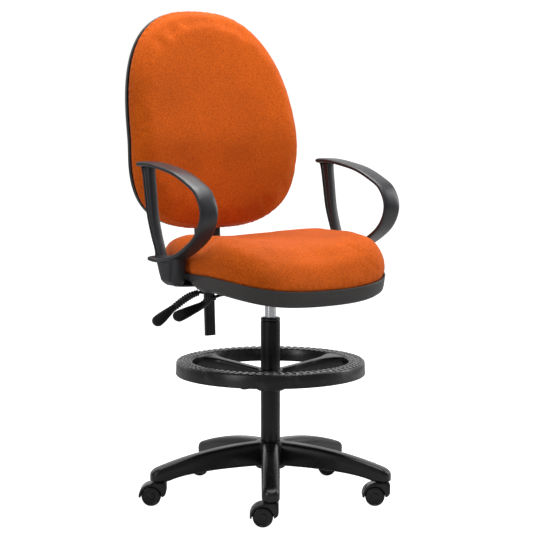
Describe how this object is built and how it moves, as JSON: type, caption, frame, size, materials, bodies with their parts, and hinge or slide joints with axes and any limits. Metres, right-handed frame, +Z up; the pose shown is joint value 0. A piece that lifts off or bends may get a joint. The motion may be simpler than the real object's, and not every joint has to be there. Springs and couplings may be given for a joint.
{
  "type": "drafting chair",
  "caption": "Upholstered draughtsman's chair with a star base on casters, a tall gas-lift column, an adjustable footring, loop arms and a reclining oval back.",
  "frame": {"origin": "the centre of the chair's overall footprint, on the floor", "axes": "+Z up; the sitter faces -Y; +X is the sitter's left"},
  "size_m": [0.645, 0.6454, 1.2606],
  "materials": {
    "nylon_black": "satin moulded nylon",
    "soft_black": "satin moulded plastic",
    "shell_grey": "fine-grained satin plastic",
    "arm_grey": "satin moulded plastic",
    "black_steel": "black powder coat",
    "chrome": "polished",
    "steel": "zinc plated",
    "plywood": "raw plywood",
    "fabric_orange": "fleck-woven upholstery cloth"
  },
  "bodies": {
    "root": {"star_base": "nylon_black", "column_tube": "black_steel", "guide_bushing": "soft_black", "thrust_bearing": "steel"},
    "caster_1": {"caster_1_hood": "nylon_black", "caster_1_axle": "steel", "caster_1_stem": "steel"},
    "caster_1_left": {"caster_1_wheel_left": "nylon_black"},
    "caster_1_right": {"caster_1_wheel_right": "nylon_black"},
    "caster_2": {"caster_2_hood": "nylon_black", "caster_2_axle": "steel", "caster_2_stem": "steel"},
    "caster_2_left": {"caster_2_wheel_left": "nylon_black"},
    "caster_2_right": {"caster_2_wheel_right": "nylon_black"},
    "caster_3": {"caster_3_hood": "nylon_black", "caster_3_axle": "steel", "caster_3_stem": "steel"},
    "caster_3_left": {"caster_3_wheel_left": "nylon_black"},
    "caster_3_right": {"caster_3_wheel_right": "nylon_black"},
    "caster_4": {"caster_4_hood": "nylon_black", "caster_4_axle": "steel", "caster_4_stem": "steel"},
    "caster_4_left": {"caster_4_wheel_left": "nylon_black"},
    "caster_4_right": {"caster_4_wheel_right": "nylon_black"},
    "caster_5": {"caster_5_hood": "nylon_black", "caster_5_axle": "steel", "caster_5_stem": "steel"},
    "caster_5_left": {"caster_5_wheel_left": "nylon_black"},
    "caster_5_right": {"caster_5_wheel_right": "nylon_black"},
    "footring": {"footring": "nylon_black"},
    "footring_knob": {"footring_knob": "soft_black", "footring_screw": "steel"},
    "lift_rod": {"piston_rod": "chrome", "rod_clip": "steel", "gas_piston": "steel"},
    "seat": {"gas_cylinder": "chrome", "mechanism_housing": "black_steel", "height_lever_pin": "steel", "back_lever_pin": "steel", "back_pivot_pin": "steel", "seat_board": "plywood", "seat_shell": "shell_grey", "seat_cushion": "fabric_orange", "arm_loop_left": "arm_grey", "arm_loop_right": "arm_grey", "arm_bracket_left": "black_steel", "arm_bracket_right": "black_steel"},
    "release_pin": {"release_pin": "steel"},
    "height_lever": {"height_lever_rod": "black_steel", "height_lever_grip": "soft_black"},
    "back_lever": {"back_lever_rod": "black_steel", "back_lever_grip": "soft_black"},
    "back_carrier": {"back_bracket": "black_steel"},
    "back": {"back_upright": "black_steel", "upright_cover": "soft_black", "back_fixing_block": "nylon_black", "back_board": "plywood", "back_shell": "soft_black", "back_cushion": "fabric_orange"}
  },
  "joints": [
    {"name": "caster_1_swivel", "type": "hinge", "parent": "root", "child": "caster_1", "pos_m": [0.01272, 0.24177, 0.05962], "axis": [0, 0, 1], "continuous": true},
    {"name": "caster_1_roll_left", "type": "hinge", "parent": "caster_1", "child": "caster_1_left", "pos_m": [-0.00265, 0.25293, 0.02462], "axis": [0.5878, 0.809, 0], "continuous": true},
    {"name": "caster_1_roll_right", "type": "hinge", "parent": "caster_1", "child": "caster_1_right", "pos_m": [-0.00265, 0.25293, 0.02462], "axis": [0.5878, 0.809, 0], "continuous": true},
    {"name": "caster_2_swivel", "type": "hinge", "parent": "root", "child": "caster_2", "pos_m": [-0.2688, 0.03723, 0.05962], "axis": [0, 0, 1], "continuous": true},
    {"name": "caster_2_roll_left", "type": "hinge", "parent": "caster_2", "child": "caster_2_left", "pos_m": [-0.28417, 0.0484, 0.02462], "axis": [0.5878, 0.809, 0], "continuous": true},
    {"name": "caster_2_roll_right", "type": "hinge", "parent": "caster_2", "child": "caster_2_right", "pos_m": [-0.28417, 0.0484, 0.02462], "axis": [0.5878, 0.809, 0], "continuous": true},
    {"name": "caster_3_swivel", "type": "hinge", "parent": "root", "child": "caster_3", "pos_m": [-0.16127, -0.2937, 0.05962], "axis": [0, 0, 1], "continuous": true},
    {"name": "caster_3_roll_left", "type": "hinge", "parent": "caster_3", "child": "caster_3_left", "pos_m": [-0.17664, -0.28253, 0.02462], "axis": [0.5878, 0.809, 0], "continuous": true},
    {"name": "caster_3_roll_right", "type": "hinge", "parent": "caster_3", "child": "caster_3_right", "pos_m": [-0.17664, -0.28253, 0.02462], "axis": [0.5878, 0.809, 0], "continuous": true},
    {"name": "caster_4_swivel", "type": "hinge", "parent": "root", "child": "caster_4", "pos_m": [0.1867, -0.2937, 0.05962], "axis": [0, 0, 1], "continuous": true},
    {"name": "caster_4_roll_left", "type": "hinge", "parent": "caster_4", "child": "caster_4_left", "pos_m": [0.17133, -0.28253, 0.02462], "axis": [0.5878, 0.809, 0], "continuous": true},
    {"name": "caster_4_roll_right", "type": "hinge", "parent": "caster_4", "child": "caster_4_right", "pos_m": [0.17133, -0.28253, 0.02462], "axis": [0.5878, 0.809, 0], "continuous": true},
    {"name": "caster_5_swivel", "type": "hinge", "parent": "root", "child": "caster_5", "pos_m": [0.29423, 0.03723, 0.05962], "axis": [0, 0, 1], "continuous": true},
    {"name": "caster_5_roll_left", "type": "hinge", "parent": "caster_5", "child": "caster_5_left", "pos_m": [0.27886, 0.0484, 0.02462], "axis": [0.5878, 0.809, 0], "continuous": true},
    {"name": "caster_5_roll_right", "type": "hinge", "parent": "caster_5", "child": "caster_5_right", "pos_m": [0.27886, 0.0484, 0.02462], "axis": [0.5878, 0.809, 0], "continuous": true},
    {"name": "footring_slide", "type": "slide", "parent": "root", "child": "footring", "axis": [0, 0, 1], "range_m": [-0.11, 0.09]},
    {"name": "footring_knob_turn", "type": "hinge", "parent": "footring", "child": "footring_knob", "pos_m": [0.01272, -0.05423, 0.30462], "axis": [-0.9903, 0.1392, 0], "range_deg": [0, 360]},
    {"name": "seat_swivel", "type": "hinge", "parent": "root", "child": "lift_rod", "pos_m": [0.01272, -0.05423, 0.29962], "axis": [0, 0, 1], "continuous": true},
    {"name": "seat_height", "type": "slide", "parent": "lift_rod", "child": "seat", "axis": [0, 0, 1], "range_m": [0, 0.25]},
    {"name": "height_lever_lift", "type": "hinge", "parent": "seat", "child": "height_lever", "pos_m": [-0.01728, -0.05423, 0.54062], "axis": [0, 1, 0], "range_deg": [0, 4.5], "stiffness_Nm_per_rad": 3, "springref_deg": -5.73},
    {"name": "release_pin_press", "type": "slide", "parent": "seat", "child": "release_pin", "axis": [0, 0, -1], "range_m": [0, 0.0024]},
    {"name": "back_lever_lift", "type": "hinge", "parent": "seat", "child": "back_lever", "pos_m": [-0.01728, 0.04077, 0.54062], "axis": [0, 1, 0], "range_deg": [0, 4.5], "stiffness_Nm_per_rad": 3, "springref_deg": -5.73},
    {"name": "back_angle", "type": "hinge", "parent": "seat", "child": "back_carrier", "pos_m": [0.01272, 0.11577, 0.53962], "axis": [-1, 0, 0], "range_deg": [-3, 18]},
    {"name": "back_height", "type": "slide", "parent": "back_carrier", "child": "back", "axis": [0, 0.0436, 0.999], "range_m": [0, 0.06]}
  ],
  "couplings": [
    {"joint": "release_pin_press", "follows": "height_lever_lift", "m_per_rad": 0.03}
  ]
}
